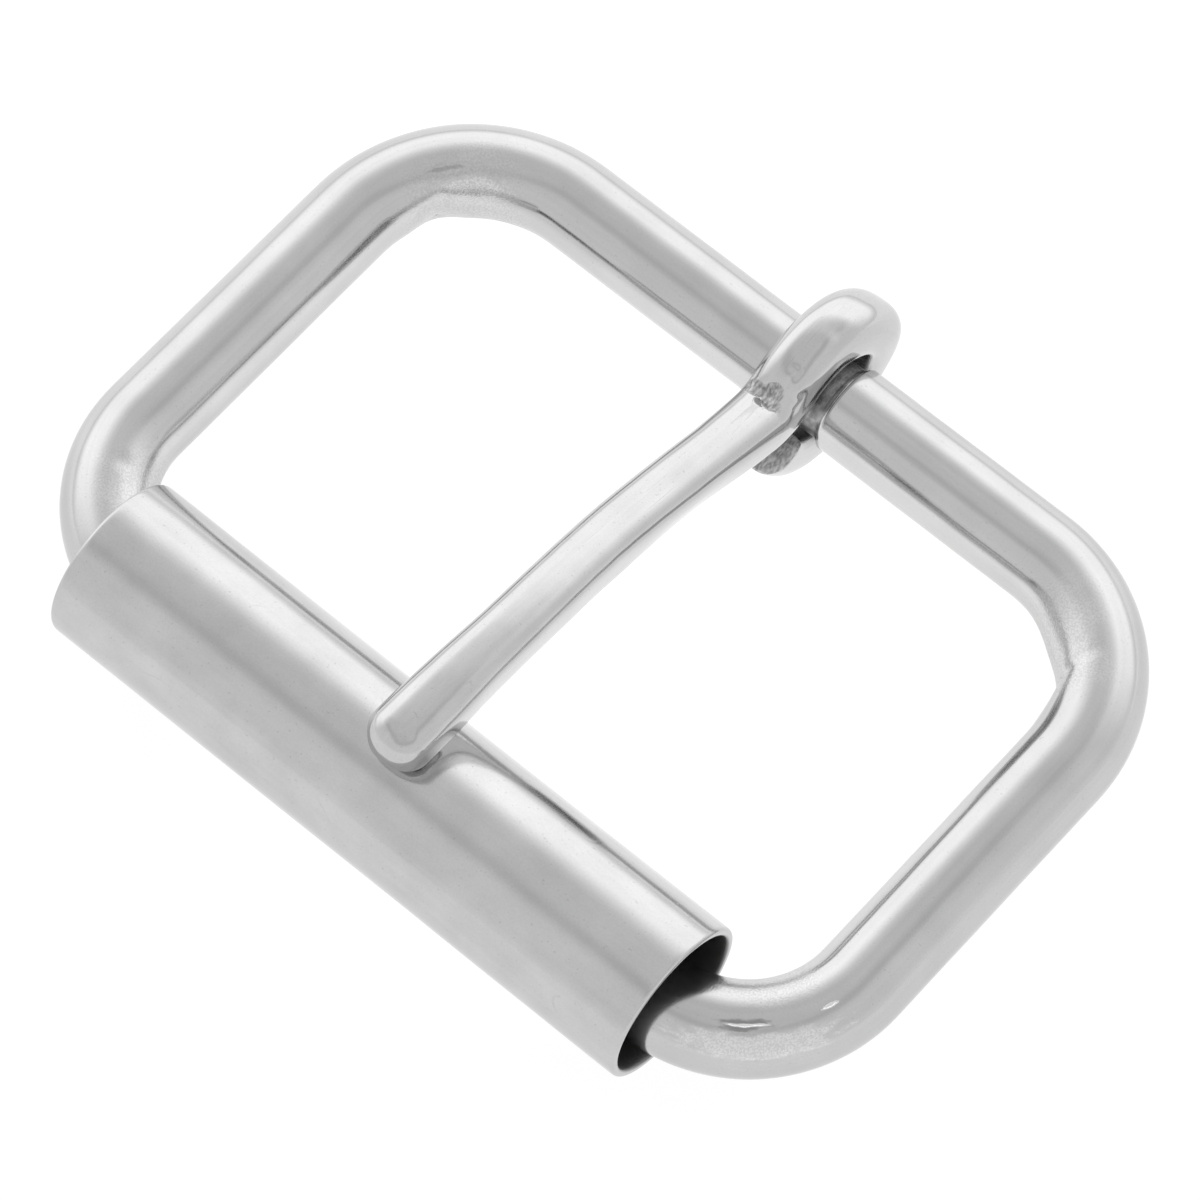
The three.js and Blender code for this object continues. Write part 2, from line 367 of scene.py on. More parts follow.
def work_bends():
    """What bending leaves: the inside of each bend is nipped together, and the skin is dented."""
    # the right heel bend is nipped to a sharp corner inside, and a fold runs up from it
    HEEL_RIGHT_BEND.press(31, 182, depth=0.50 * MM, reach=2.3 * MM, falloff="SHARP")
    HEEL_RIGHT_BEND.press(56, 178, depth=-0.10 * MM, reach=2.4 * MM)
    for turn, round_wire, depth in ((30, 165, 0.16), (31, 150, 0.14), (34, 134, 0.09), (37, 121, 0.05)):
        HEEL_RIGHT_BEND.press(turn, round_wire, depth=depth * MM, reach=0.8 * MM, falloff="SHARP")
    for turn, round_wire in ((38, 113), (43, 118), (40, 101)):
        HEEL_RIGHT_BEND.press(turn, round_wire, depth=0.03 * MM, reach=0.6 * MM)
    # the left heel bend has a corner inside, a flat beyond it, and a kink in its top
    for round_wire in (178, 204):
        HEEL_LEFT_BEND.press(32, round_wire, depth=0.34 * MM, reach=2.2 * MM, falloff="SHARP")
    HEEL_LEFT_BEND.press(54, 176, depth=0.12 * MM, reach=1.9 * MM)
    HEEL_LEFT_BEND.press(33, 152, depth=0.09 * MM, reach=0.8 * MM, falloff="SHARP")
    for turn in (37, 43):
        HEEL_LEFT_BEND.press(turn, 114, depth=0.07 * MM, reach=0.6 * MM)
    HEEL_LEFT_BEND.press(50, 138, depth=0.05 * MM, reach=0.9 * MM)
    # the front bends: small flats on top, and a slight nip inside
    FRONT_RIGHT_BEND.press(*LONG_NICK, depth=0.05 * MM, reach=0.9 * MM)
    FRONT_RIGHT_BEND.press(42, 176, depth=0.10 * MM, reach=1.1 * MM, falloff="SHARP")
    FRONT_LEFT_BEND.press(40, 176, depth=0.12 * MM, reach=1.2 * MM, falloff="SHARP")
    FRONT_LEFT_BEND.press(30, 110, depth=0.04 * MM, reach=0.7 * MM)


def bent_frame():
    """Drawn out ring by ring from the butt joint, once round, and back to it."""
    put_down()
    bpy.ops.mesh.primitive_circle_add(
        vertices=WIRE_SIDES, radius=WIRE_R, fill_type="NOTHING",
        location=(BUTT_GAP / 2, FRONT_Y, BAR_Z), rotation=(0, QUARTER, 0))
    piece = start("bent_wire_frame")
    bpy.ops.mesh.select_all(action="SELECT")
    wire_run(Vector((FRONT_RIGHT.x - BUTT_GAP / 2, 0, 0)))
    swing_round(FRONT_RIGHT, UP, QUARTER, BEND_STEPS)
    wire_run(Vector((0, HEEL_RIGHT.y - FRONT_RIGHT.y, 0)))
    swing_round(HEEL_RIGHT, UP, QUARTER, BEND_STEPS)
    necked_heel_bar()
    swing_round(HEEL_LEFT, UP, QUARTER, BEND_STEPS)
    wire_run(Vector((0, FRONT_LEFT.y - HEEL_LEFT.y, 0)))
    swing_round(FRONT_LEFT, UP, QUARTER, BEND_STEPS)
    wire_run(Vector((-FRONT_LEFT.x - BUTT_GAP / 2, 0, 0)))
    for side in (1, -1):
        close_end(lambda co, at=side * BUTT_GAP / 2: abs(co.x - at) < TOUCHING and co.y < 0)
        bpy.ops.mesh.bevel(offset=END_CHAMFER, segments=2, affect="EDGES")
    finish_mesh(piece, levels=1)
    reopen(piece)
    work_bends()
    paint(piece, "drawn", along_wire)
    paint(piece, "bent", bent)
    paint(piece, "seat", in_seat)
    uneven(piece, "hand_polish", size=4.5 * MM, height=0.014 * MM)
    return piece


# --- the roller ------------------------------------------------------------------------------------

def roller_profile():
    """Places along the tube and radii: the outer skin, one rim, back through the bore, the other rim."""
    ease = RIM_EASE
    half = ROLLER_HALF
    outer = [(-half + ease, ROLLER_R), (-half + 2.5 * ease, ROLLER_R)]
    outer += [(half * share, ROLLER_R) for share in (-0.9, -0.6, -0.3, 0.0, 0.3, 0.6, 0.9)]
    outer += [(half - 2.5 * ease, ROLLER_R), (half - ease, ROLLER_R)]
    rim = [(half - ease * 0.3, ROLLER_R - ease * 0.3), (half, ROLLER_R - ease),
           (half, ROLLER_BORE_R + ease * 0.7), (half - ease * 0.6, ROLLER_BORE_R)]
    inner = [(x, ROLLER_BORE_R) for x, _ in reversed(outer[2:-2])]
    other = [(-x, radius) for x, radius in reversed(rim)]
    return outer + rim + inner + other


def from_roller_axis(co):
    return math.hypot(co.y - ROLLER_AXIS.y, co.z - ROLLER_AXIS.z)


def roller_tube():
    """Turned from its profile, ring by ring, and joined where the last ring meets the first."""
    profile = roller_profile()
    put_down()
    bpy.ops.mesh.primitive_circle_add(
        vertices=ROLLER_SIDES, radius=profile[0][1], fill_type="NOTHING",
        location=ROLLER_AXIS + Vector((profile[0][0], 0, 0)), rotation=(0, QUARTER, 0))
    piece = start("turned_roller")
    bpy.ops.mesh.select_all(action="SELECT")
    for (x, radius), (next_x, next_radius) in zip(profile, profile[1:]):
        pull((next_x - x, 0, 0))
        grow = next_radius / radius
        scale_about(ROLLER_AXIS, y=grow, z=grow)
    first = ROLLER_AXIS.x + profile[0][0]
    last = ROLLER_AXIS.x + profile[-1][0]

    def open_edge(co):
        away = from_roller_axis(co)
        at_first = abs(co.x - first) < TOUCHING and abs(away - profile[0][1]) < 10 * TOUCHING
        at_last = abs(co.x - last) < TOUCHING and abs(away - profile[-1][1]) < 10 * TOUCHING
        return at_first or at_last

    choose(open_edge)
    bpy.ops.mesh.bridge_edge_loops()
    finish_mesh(piece, levels=2)
    uneven(piece, "thin_wall", size=5.5 * MM, height=0.016 * MM)
    paint(piece, "bore", lambda co: ramp(ROLLER_R - from_roller_axis(co), *BORE_DEPTH))
    return piece


# --- the tongue ------------------------------------------------------------------------------------

TAIL_ANGLE = math.radians(197)
BODY_SLOPE = math.radians(14)
NECK_R = 1.9 * MM
TIP_GAP = 0.3 * MM
CREST_HEIGHT = ROLLER_AXIS.z + ROLLER_R + TIP_GAP + TONGUE_T / 2 - BAR_Z
# how far the body's straight line passes from the eye's axis
BODY_LINE = 1.29 * MM
CURL_STEPS = 64
NECK_STEPS = 12
BODY_STEPS = 34
CREST_STEPS = 36
TAPER_STEPS = 9
BODY_TWIST = math.radians(12)
BODY_BOW = 0.26 * MM
BOW_Y = 1.0 * MM
BOW_REACH = 10.0 * MM
BODY_LEAN = 0.18 * MM
LEAN_REACH = BAR_SPACING * 0.8
SWELL_REACH = 8.0 * MM
# half the length of the band of rings that a bow, or a swelling, is centred on
BOW_BAND = 0.2 * MM
SWELL_BAND = 0.12 * MM
TIP_REACH = 1.45 * MM
# the nose closes to this share of a quarter turn; lower powers make it blunter
NOSE_STEPS = 12
NOSE_TURN = 0.93
NOSE_WIDTH_POWER = 0.9
NOSE_DEPTH_POWER = 0.75
NOSE_DROP = 0.45 * MM
X = Vector((1, 0, 0))
RISE = Vector((0, -math.cos(BODY_SLOPE), math.sin(BODY_SLOPE)))
OVER = Vector((0, math.sin(BODY_SLOPE), math.cos(BODY_SLOPE)))

DIMPLE = EYE_AXIS + Vector((-0.12, -3.5, 3.45)) * MM
DIMPLE_LOBES = (
    Vector((-0.62, 0, -0.05)) * MM,
    Vector((0.3, 0.3, 0.35)) * MM,
    Vector((0.5, -0.3, -0.1)) * MM,
)
DIMPLE_EDGE = (0.35 * MM, 0.75 * MM)
TAIL_OUT = Vector((0, math.cos(TAIL_ANGLE), math.sin(TAIL_ANGLE)))
TAIL_PAST = Vector((0, math.sin(TAIL_ANGLE), -math.cos(TAIL_ANGLE)))
TAIL_END = EYE_AXIS + TAIL_OUT * EYE_BAND_R
CUT_REACH = 2.4 * MM
CUT_EDGE = (-0.5 * MM, -0.1 * MM)
EYE_BORE_R = EYE_R - EYE_WALL
EYE_BORE_EDGE = 0.5 * MM
EYE_SKIN = 0.15 * MM


def eye_point(y, z):
    return Vector((EYE_AXIS.x, EYE_AXIS.y + y, BAR_Z + z))


def turn_over(centre, angle):
    """Turns what is selected about the tongue's length, so that its top leans to the right."""
    bpy.ops.transform.rotate(value=-angle, orient_axis="Y", center_override=tuple(centre))


def past_band(co):
    """How far out a point lies, at the tail, from the middle of the curl's wall."""
    return (co - EYE_AXIS).dot(TAIL_OUT) - EYE_BAND_R


def tail_outline():
    """The bar's section, where the tail is cut: round over its outside, nearly square inside."""
    put_down()
    bpy.ops.mesh.primitive_plane_add(size=1, location=TAIL_END, rotation=(TAIL_ANGLE, 0, 0))
    bpy.context.object.scale = (TONGUE_W, EYE_WALL, 1)
    piece = start("arched_tongue")
    choose(lambda co: past_band(co) > 0)
    bpy.ops.mesh.bevel(offset=OUTER_ROUND, segments=6, affect="VERTICES")
    choose(lambda co: past_band(co) < -EYE_WALL / 2 + TOUCHING)
    bpy.ops.mesh.bevel(offset=INNER_ROUND, segments=2, affect="VERTICES")
    bpy.ops.mesh.select_all(action="SELECT")
    bpy.ops.mesh.delete(type="ONLY_FACE")
    bpy.ops.mesh.select_all(action="SELECT")
    return piece


def curl_and_neck():
    """Carries the outline round the bar, then back over the tight bend, to where the body starts."""
    neck_share = math.asin((BODY_LINE + NECK_R) / (EYE_BAND_R + NECK_R))
    neck_angle = math.pi - BODY_SLOPE - neck_share
    swing_round(EYE_AXIS, X, 2 * math.pi + neck_angle - TAIL_ANGLE, CURL_STEPS)
    neck_centre = EYE_AXIS + Vector((0, math.cos(neck_angle), math.sin(neck_angle))) * (
        EYE_BAND_R + NECK_R)
    neck_turn = math.pi - BODY_SLOPE - (neck_angle + QUARTER)
    swing_round(neck_centre, X, neck_turn, NECK_STEPS)
    return neck_centre - OVER * NECK_R


def body_and_crest(middle):
    """Straight up, narrowing and turning a little on the way, then over the crest's long bend."""
    crest_r = (BAR_SPACING * math.sin(BODY_SLOPE) - CREST_HEIGHT * math.cos(BODY_SLOPE) + BODY_LINE) / (
        1 - math.cos(BODY_SLOPE))
    crest_start_y = EYE_AXIS.y - BAR_SPACING + crest_r * math.sin(BODY_SLOPE)
    step = RISE * ((middle.y - crest_start_y) / math.cos(BODY_SLOPE) / BODY_STEPS)
    for i in range(1, BODY_STEPS + 1):
        pull(step)
        middle += step
        more = math.cos(math.tau * (i - 1) / BODY_STEPS) - math.cos(math.tau * i / BODY_STEPS)
        turn_over(middle, BODY_TWIST * more / 2)
        if i <= TAPER_STEPS:
            scale_about(middle, x=(WAIST_W / TONGUE_W) ** (1 / TAPER_STEPS))
    swing_round(eye_point(-BAR_SPACING, CREST_HEIGHT - crest_r), X, BODY_SLOPE, CREST_STEPS)


def blunt_nose(tip):
    """Draws the outline in and down as it goes, and closes it."""
    ahead = 0.0
    width = 1.0
    depth = 1.0
    for i in range(1, NOSE_STEPS + 1):
        angle = QUARTER * NOSE_TURN * i / NOSE_STEPS
        pull((0, ahead - TIP_REACH * math.sin(angle), 0))
        ahead = TIP_REACH * math.sin(angle)
        next_width = math.cos(angle) ** NOSE_WIDTH_POWER
        next_depth = math.cos(angle) ** NOSE_DEPTH_POWER
        scale_about(tip - Vector((0, ahead, 0)), x=next_width / width, z=next_depth / depth)
        width = next_width
        depth = next_depth
    bpy.ops.mesh.edge_face_add()


def bow_lean_and_swell(tip):
    """Nothing made by hand is straight: the bar bows and leans to the left, and its tip swells."""
    choose(lambda co: abs(co.y - BOW_Y) < BOW_BAND)
    shift_softly((-BODY_BOW, 0, 0), BOW_REACH, "SMOOTH")
    choose(lambda co: co.y < FRONT_Y)
    shift_softly((-BODY_LEAN, 0, 0), LEAN_REACH, "LINEAR")
    choose(lambda co: abs(co.y - FRONT_Y) < SWELL_BAND)
    bpy.ops.transform.resize(
        value=(TIP_W / WAIST_W, 1, 1), center_override=(tip.x - BODY_LEAN, tip.y, tip.z),
        use_proportional_edit=True, proportional_edit_falloff="SMOOTH", proportional_size=SWELL_REACH)


def tongue_bar():
    """Drawn out from the cut tail, round the bar, over the neck and along the body to the nose."""
    tip = Vector((EYE_AXIS.x, FRONT_Y, BAR_Z + CREST_HEIGHT - NOSE_DROP))
    piece = tail_outline()
    body_and_crest(curl_and_neck())
    blunt_nose(tip)
    bow_lean_and_swell(tip)
    close_end(lambda co: abs((co - EYE_AXIS).dot(TAIL_PAST)) < TOUCHING and past_band(co) > -EYE_BAND_R)
    finish_mesh(piece, levels=2)
    reopen(piece)
    work_neck()
    weigh(piece, "rough", rough_patch)
    uneven(piece, "chisel_marks", size=0.30 * MM, height=0.04 * MM, group="rough")
    uneven(piece, "hand_filing", size=4.2 * MM, height=0.03 * MM)
    paint(piece, "drawn", along_tongue)
    paint(piece, "struck", rough_patch)
    paint(piece, "inner", in_eye)
    return piece


def in_eye(co):
    """1 on the inside of the curl, where no file or polish reached; the finish makes it rougher there and
    paints it a little darker, as painted shade.
    """
    return 1 - ramp((co - EYE_AXIS).yz.length, EYE_BORE_R, EYE_BORE_R + EYE_BORE_EDGE)


def rough_patch(co):
    """1 in the struck dimple at the neck and on the cut tail end."""
    nearest = min((co - DIMPLE - lobe).length for lobe in DIMPLE_LOBES)
    dimple = 1 - ramp(nearest, *DIMPLE_EDGE)
    from_tail = co - TAIL_END
    cut = ramp(from_tail.dot(TAIL_PAST), *CUT_EDGE) if from_tail.length < CUT_REACH else 0.0
    return max(dimple, cut)


def along_tongue(co):
    """Across the tongue, through it and along it."""
    from_eye = co - EYE_AXIS
    away = from_eye.yz.length
    if away < EYE_R + EYE_SKIN:
        return Vector((from_eye.x, away - EYE_BAND_R, math.atan2(from_eye.z, from_eye.y) * EYE_BAND_R))
    return Vector((from_eye.x, from_eye.dot(OVER), -from_eye.dot(RISE) - EYE_R))


def work_neck():
    """The chisel's dimple where the curl was closed, with the metal it raised, and filed flanks."""
    nudge(DIMPLE, move=(0, 0.12 * MM, -0.2 * MM), reach=1.0 * MM)
    # a small flat on the tip
    flat = (EYE_AXIS.x + 0.4 * MM, FRONT_Y - 0.55 * MM, tongue_high.z)
    nudge(flat, move=(0, 0, -0.09 * MM), reach=0.75 * MM)
    # the metal raised beside the dimple
    raised = DIMPLE + Vector((1.15, 0.8, 1.2)) * MM
    nudge(raised, move=(0.02 * MM, -0.05 * MM, 0.12 * MM), reach=0.8 * MM)
    # the curl leans back and to the right, and its top stands up
    curl_back = EYE_AXIS + Vector((1.6, 4.6, 1.6)) * MM
    nudge(curl_back, move=(0.36 * MM, 0.24 * MM, 0.05 * MM), reach=4.6 * MM)
    curl_top = EYE_AXIS + Vector((0.2, 3.0, 3.9)) * MM
    nudge(curl_top, move=(0.05 * MM, 0.16 * MM, 0.16 * MM), reach=4.2 * MM)
    # a pit over the dimple, and the right flank filed down in two places
    pit = DIMPLE + Vector((0.55, 1.5, 1.3)) * MM
    nudge(pit, move=(0, 0.04 * MM, -0.07 * MM), reach=0.55 * MM, falloff="SHARP")
    for back in (2.6, 4.2):
        flank = DIMPLE + Vector((1.3, back, 2.2)) * MM
        nudge(flank, move=(-0.07 * MM, 0, -0.07 * MM), reach=1.3 * MM)


# --- materials -------------------------------------------------------------------------------------

def grey(shade):
    return (shade, shade, shade, 1)


# the metal's tint where it is seen edge on, and the depth of its finest relief
EDGE_TINT = grey(0.94)
RELIEF = 0.006 * MM

# a colour mixing node's sockets
MIX_LOW = 6
MIX_HIGH = 7
MIX_COLOUR = 2

# how light the metal is: polished, raw where it was struck or cut, a painted highlight for glints and
# sheen, painted shade for dark reflections and for the shade under the tongue, and painted shade in the
# bore
DULL = grey(0.47)
BRIGHT = grey(0.63)
RAW_DARK = grey(0.27)
RAW_LIGHT = grey(0.58)
PAINTED_HIGHLIGHT = grey(0.80)
SHADE_AND_DARK_REFLECTION = grey(0.25)
PAINTED_SHADE_LIGHT = grey(0.50)
BORE_PAINTED_SHADE = grey(0.28)

# the parts of a noise's range that cover a surface evenly, and that it seldom reaches
EVEN = (0.35, 0.65)
RARE = (0.76, 0.82)

# how noise is drawn out along a piece
ALONG_BAR = (1, 1, 0.02)
ALONG_SCRATCH = (1, 1, 0.03)
ALONG_TUBE = (0.02, 1, 1)


class Reading:
    """A number that varies over a surface: a socket that takes part in sums."""

    def __init__(self, finish, socket):
        self.finish = finish
        self.socket = socket

    def maths(self, operation, *values):
        node = self.finish.add("ShaderNodeMath", {"operation": operation}, dict(enumerate(values)))
        return Reading(self.finish, node.outputs[0])

    def __add__(self, other):
        return self.maths("ADD", self, other)

    def __sub__(self, other):
        return self.maths("SUBTRACT", self, other)

    def __rsub__(self, other):
        return self.maths("SUBTRACT", other, self)

    def __mul__(self, other):
        return self.maths("MULTIPLY", self, other)

    def __abs__(self):
        return self.maths("ABSOLUTE", self)

    __radd__ = __add__
    __rmul__ = __mul__

    def sway(self, amount):
        """How far it stands from its middle value, times an amount."""
        return (self - 0.5) * amount


class Finish:
    """A material's nodes, or the world's."""

    def __init__(self, owner):
        self.owner = owner
        owner.use_nodes = True
        self.tree = owner.node_tree
        self.tree.nodes.clear()

    def add(self, kind, settings=None, values=None):
        """Adds a node: first its settings, then its sockets' values or links."""
        node = self.tree.nodes.new(kind)
        for key, value in (settings or {}).items():
            setattr(node, key, value)
        for key, value in (values or {}).items():
            socket = node.inputs[key]
            if isinstance(value, Reading):
                value = value.socket
            if isinstance(value, bpy.types.NodeSocket):
                self.tree.links.new(value, socket)
            else:
                socket.default_value = value
        return node

    def reading(self, kind, settings=None, values=None, output=0):
        return Reading(self, self.add(kind, settings, values).outputs[output])

    def place(self):
        return self.add("ShaderNodeTexCoord").outputs["Object"]

    def painted(self, name, output="Fac"):
        return self.add("ShaderNodeAttribute", {"attribute_name": name}).outputs[output]

    def length(self, socket):
        return self.reading("ShaderNodeVectorMath", {"operation": "LENGTH"}, {0: socket}, "Value")

    def parts(self, socket):
        """The three parts of a place or of a direction."""
        return [Reading(self, part) for part in self.add("ShaderNodeSeparateXYZ", {}, {0: socket}).outputs]

    def noise(self, place, size, stretch=(1, 1, 1), detail=2.0):
        """Clouds of a size; a small stretch value draws them out that way."""
        fitted = self.add("ShaderNodeVectorMath", {"operation": "MULTIPLY"}, {
            0: place, 1: [part / size for part in stretch]})
        return self.reading("ShaderNodeTexNoise", {}, {
            "Vector": fitted.outputs[0], "Scale": 1.0, "Detail": detail})

    def between(self, value, low, high):
        """0 below low, 1 above high."""
        return self.reading("ShaderNodeMapRange", {"interpolation_type": "SMOOTHSTEP"}, {
            "Value": value, "From Min": low, "From Max": high, "To Min": 0.0, "To Max": 1.0})

    def hairlines(self, place, size, stretch, width):
        """Fine scratches: the places where slow clouds pass their middle value."""
        clouds = self.noise(place, size, stretch, detail=1.0)
        return 1 - self.between(abs(clouds - 0.5), 0.0, width)

    def grain(self, place, size, detail=1.0):
        """Small bumps that cover a surface evenly."""
        return self.between(self.noise(place, size, detail=detail), *EVEN)

    def specks(self, place, size):
        """A few tiny pits."""
        return self.between(self.noise(place, size, detail=0.0), *RARE)

    def nick(self, drawn, at, length, width):
        """A ragged nick along the wire, 1 at its bottom."""
        ragged = self.noise(drawn, 0.25 * MM, (1, 1, 0.4))
        away = self.add("ShaderNodeVectorMath", {"operation": "SUBTRACT"}, {0: drawn, 1: at})
        fitted = self.add("ShaderNodeVectorMath", {"operation": "MULTIPLY"}, {
            0: away.outputs[0], 1: (1 / width, 1 / width, 1 / length)})
        return 1 - self.between(self.length(fitted.outputs[0]) + ragged.sway(1.2), 0.5, 1.0)

    def blend(self, share, low, high):
        """A grey between two shades."""
        mixed = self.add("ShaderNodeMix", {"data_type": "RGBA"}, {
            "Factor": share, MIX_LOW: low, MIX_HIGH: high})
        return mixed.outputs[MIX_COLOUR]

    def metal(self, colour, roughness, height):
        """Bare metal; a height of 1 stands for the relief's full depth."""
        bump = self.add("ShaderNodeBump", {}, {"Strength": 1.0, "Distance": RELIEF, "Height": height})
        shader = self.add("ShaderNodeBsdfPrincipled", {}, {
            "Base Color": colour, "Metallic": 1.0, "Roughness": roughness, "Normal": bump.outputs[0],
            "Specular Tint": EDGE_TINT})
        self.add("ShaderNodeOutputMaterial", {}, {"Surface": shader.outputs[0]})
        return self.owner


def drawn_wire():
    """Nickel-plated wire: drawing lines along it, orange peel in the bends, painted glints, sheen and dark
    reflections on the bends, and a rougher seat painted dark as the shade under the tongue's eye.
    """
    finish = Finish(bpy.data.materials.new("frame_metal"))
    place = finish.place()
    drawn = finish.painted("drawn", "Vector")
    bends = Reading(finish, finish.painted("bent"))
    seat = Reading(finish, finish.painted("seat"))
    lines = finish.noise(drawn, 0.42 * MM, ALONG_BAR, detail=3.0)
    clouds = finish.noise(place, 3.0 * MM)
    peel = finish.grain(place, 0.10 * MM)
    specks = finish.specks(place, 0.12 * MM)
    satin = finish.between(bends + (clouds - 0.5), 0.35, 0.8)
    mottle = finish.grain(place, 0.5 * MM, detail=3.0)

    def mark(bend, at, length, width):
        return finish.nick(drawn, along_wire(bend.place(*at)), length, width)

    # the nicks are dents in the relief, and their bottoms get the highlight colour: painted glints
    nick = mark(FRONT_RIGHT_BEND, LONG_NICK, 1.2 * MM, 0.12 * MM)
    nick = nick + mark(FRONT_RIGHT_BEND, SHORT_NICK, 0.5 * MM, 0.13 * MM)
    # painted dark reflections: a dark patch round the long nick, and a dark glint on the left heel bend
    dark_reflections = mark(FRONT_RIGHT_BEND, DARK_REFLECTION_AT, 1.4 * MM, 0.36 * MM)
    dark_reflections = dark_reflections + mark(HEEL_LEFT_BEND, DARK_GLINT, 1.3 * MM, 0.18 * MM) * 0.55
    # painted sheen: bright patches on the left heel bend and the right front bend, standing for the
    # brighter reflection there
    wear_and_sheen = mark(HEEL_LEFT_BEND, HEEL_SHEEN, 2.6 * MM, 0.6 * MM)
    wear_and_sheen = wear_and_sheen + mark(FRONT_RIGHT_BEND, FRONT_SHEEN, 4.2 * MM, 0.9 * MM)

    tone = 0.5 + clouds.sway(0.6) + lines.sway(0.55) + (peel - 0.5) * (0.08 + satin * 0.4) - specks * 0.35
    # the tone, lightened towards the painted highlight in the sheen patches
    tone_and_sheen = finish.blend(wear_and_sheen * (0.25 + peel * 0.4), finish.blend(tone, DULL, BRIGHT), PAINTED_HIGHLIGHT)
    # the painted dark reflections, then the nicks' painted glints
    wear_and_glints = finish.blend(nick, finish.blend(dark_reflections * 0.85, tone_and_sheen, SHADE_AND_DARK_REFLECTION), PAINTED_HIGHLIGHT)
    # the seat: a dark mottled grey, painted shade under the tongue's eye, on a rougher, bumpier skin
    colour = finish.blend(seat, wear_and_glints, finish.blend(mottle, SHADE_AND_DARK_REFLECTION, PAINTED_SHADE_LIGHT))
    roughness = (0.10 + lines * 0.06 + satin * 0.12 + seat * 0.3) * (1 - nick * 0.5)
    height = lines * 0.14 + peel * (0.04 + satin * 0.34) - specks * 0.3 + seat * mottle - nick * 22
    return finish.metal(colour, roughness, height)


def rolled_tube():
    """Thin drawn tube: faint lines along it, clouded, with scratches, specks and a rougher bore painted
    dark as the shade inside the tube.
    """
    finish = Finish(bpy.data.materials.new("roller_metal"))
    place = finish.place()
    bore = Reading(finish, finish.painted("bore"))
    lines = finish.noise(place, 0.35 * MM, ALONG_TUBE, detail=3.0)
    clouds = finish.noise(place, 2.2 * MM, (0.8, 1, 1), detail=3.0)
    grain = finish.grain(place, 0.11 * MM)
    specks = finish.specks(place, 0.14 * MM)
    wear_and_sheen = finish.between(clouds, 0.55, 0.7)
    scratches = finish.hairlines(place, 5.0 * MM, (0.35, 1, 0.7), 0.004) * wear_and_sheen
    tone = 0.5 + clouds.sway(0.9) + lines.sway(0.25) + grain.sway(0.10) - specks * 0.4 - scratches * 0.4
    # the bore is painted dark, painted shade inside the tube, and it is also made rougher
    colour = finish.blend(bore, finish.blend(tone, DULL, BRIGHT), BORE_PAINTED_SHADE)
    roughness = 0.09 + clouds * 0.06 + lines * 0.02 + bore * 0.3
    height = lines * 0.05 + grain * 0.05 - specks * 0.3 - scratches * 0.25
    return finish.metal(colour, roughness, height)


def filed_bar():
    """Filed and polished bar: long fine lines, a few scratches, raw metal where it was struck, and painted
    shade inside the curl.
    """
    finish = Finish(bpy.data.materials.new("tongue_metal"))
    place = finish.place()
    drawn = finish.painted("drawn", "Vector")
    struck = Reading(finish, finish.painted("struck"))
    inner = Reading(finish, finish.painted("inner"))
    lines = finish.noise(drawn, 0.22 * MM, ALONG_BAR, detail=3.0)
    clouds = finish.noise(place, 2.2 * MM)
    grain = finish.grain(place, 0.09 * MM)
    specks = finish.specks(place, 0.12 * MM)
    wear_and_glints = finish.between(clouds, 0.5, 0.62)
    scratches = finish.hairlines(drawn, 1.2 * MM, ALONG_SCRATCH, 0.006) * wear_and_glints
    gouges = finish.noise(place, 0.13 * MM, (1, 0.45, 0.45), detail=3.0)
    torn = finish.between(struck + gouges.sway(0.5), 0.35, 0.6)
    tone = 0.5 + clouds.sway(0.4) + lines.sway(0.4) + grain.sway(0.10) - specks * 0.4 - scratches * 0.5
    raw = finish.blend(finish.between(gouges, 0.3, 0.7), RAW_DARK, RAW_LIGHT)
    # inside the curl the metal is painted a little darker: painted shade
    tone_and_eye_shade = finish.blend(inner, finish.blend(tone, DULL, BRIGHT), PAINTED_SHADE_LIGHT)
    colour = finish.blend(torn, tone_and_eye_shade, raw)
    roughness = 0.05 + lines * 0.05 + clouds * 0.03 + torn * 0.36 + inner * 0.2
    height = lines * 0.09 + grain * 0.035 - specks * 0.3 - scratches * 0.3 + torn * gouges * 4.0
    return finish.metal(colour, roughness, height)


# --- studio ----------------------------------------------------------------------------------------

CAMERA_FROM = Vector((108.54, -130.17, 339.71)) * MM
CAMERA_AIM = Vector((0.34, -1.21, 5.2)) * MM
CAMERA_ROLL = math.radians(1.02)
CAMERA_LENS = 229.66
CAMERA_SENSOR = 36

FLOOR_R = 0.4
FLOOR_GREY = grey(0.13)
WHITE = grey(1)
# the floor glows a little more inside the frame's opening, and towards the bright side
FLOOR_GLOW = 0.91
OPENING_GLOW = 0.25
OPENING_EDGE = (8 * MM, 24 * MM)
BEYOND_GLOW = 0.16
BEYOND_EDGE = (5 * MM, 30 * MM)

# which way the tent's bright side lies
FAR_ACROSS = -0.643
FAR_ALONG = 0.766

# the tent's light by side and by height, the height being 1 straight overhead
NEAR_LIGHT = 0.90
FAR_EXTRA = 0.66
FAR_EDGE = (-0.1, 0.6)
OVERHEAD_LIGHT = 0.80
OVERHEAD_EDGE = (0.62, 0.95)
SKIRT_LIGHT = 0.97
SKIRT_EDGE = (0.0, 0.25)
# a darker seam runs over its near side
SEAM_DEPTH = 0.16
SEAM_LOW_EDGE = (0.77, 0.87)
SEAM_HIGH_EDGE = (0.89, 0.955)
SEAM_SIDE_EDGE = (0.05, 0.3)


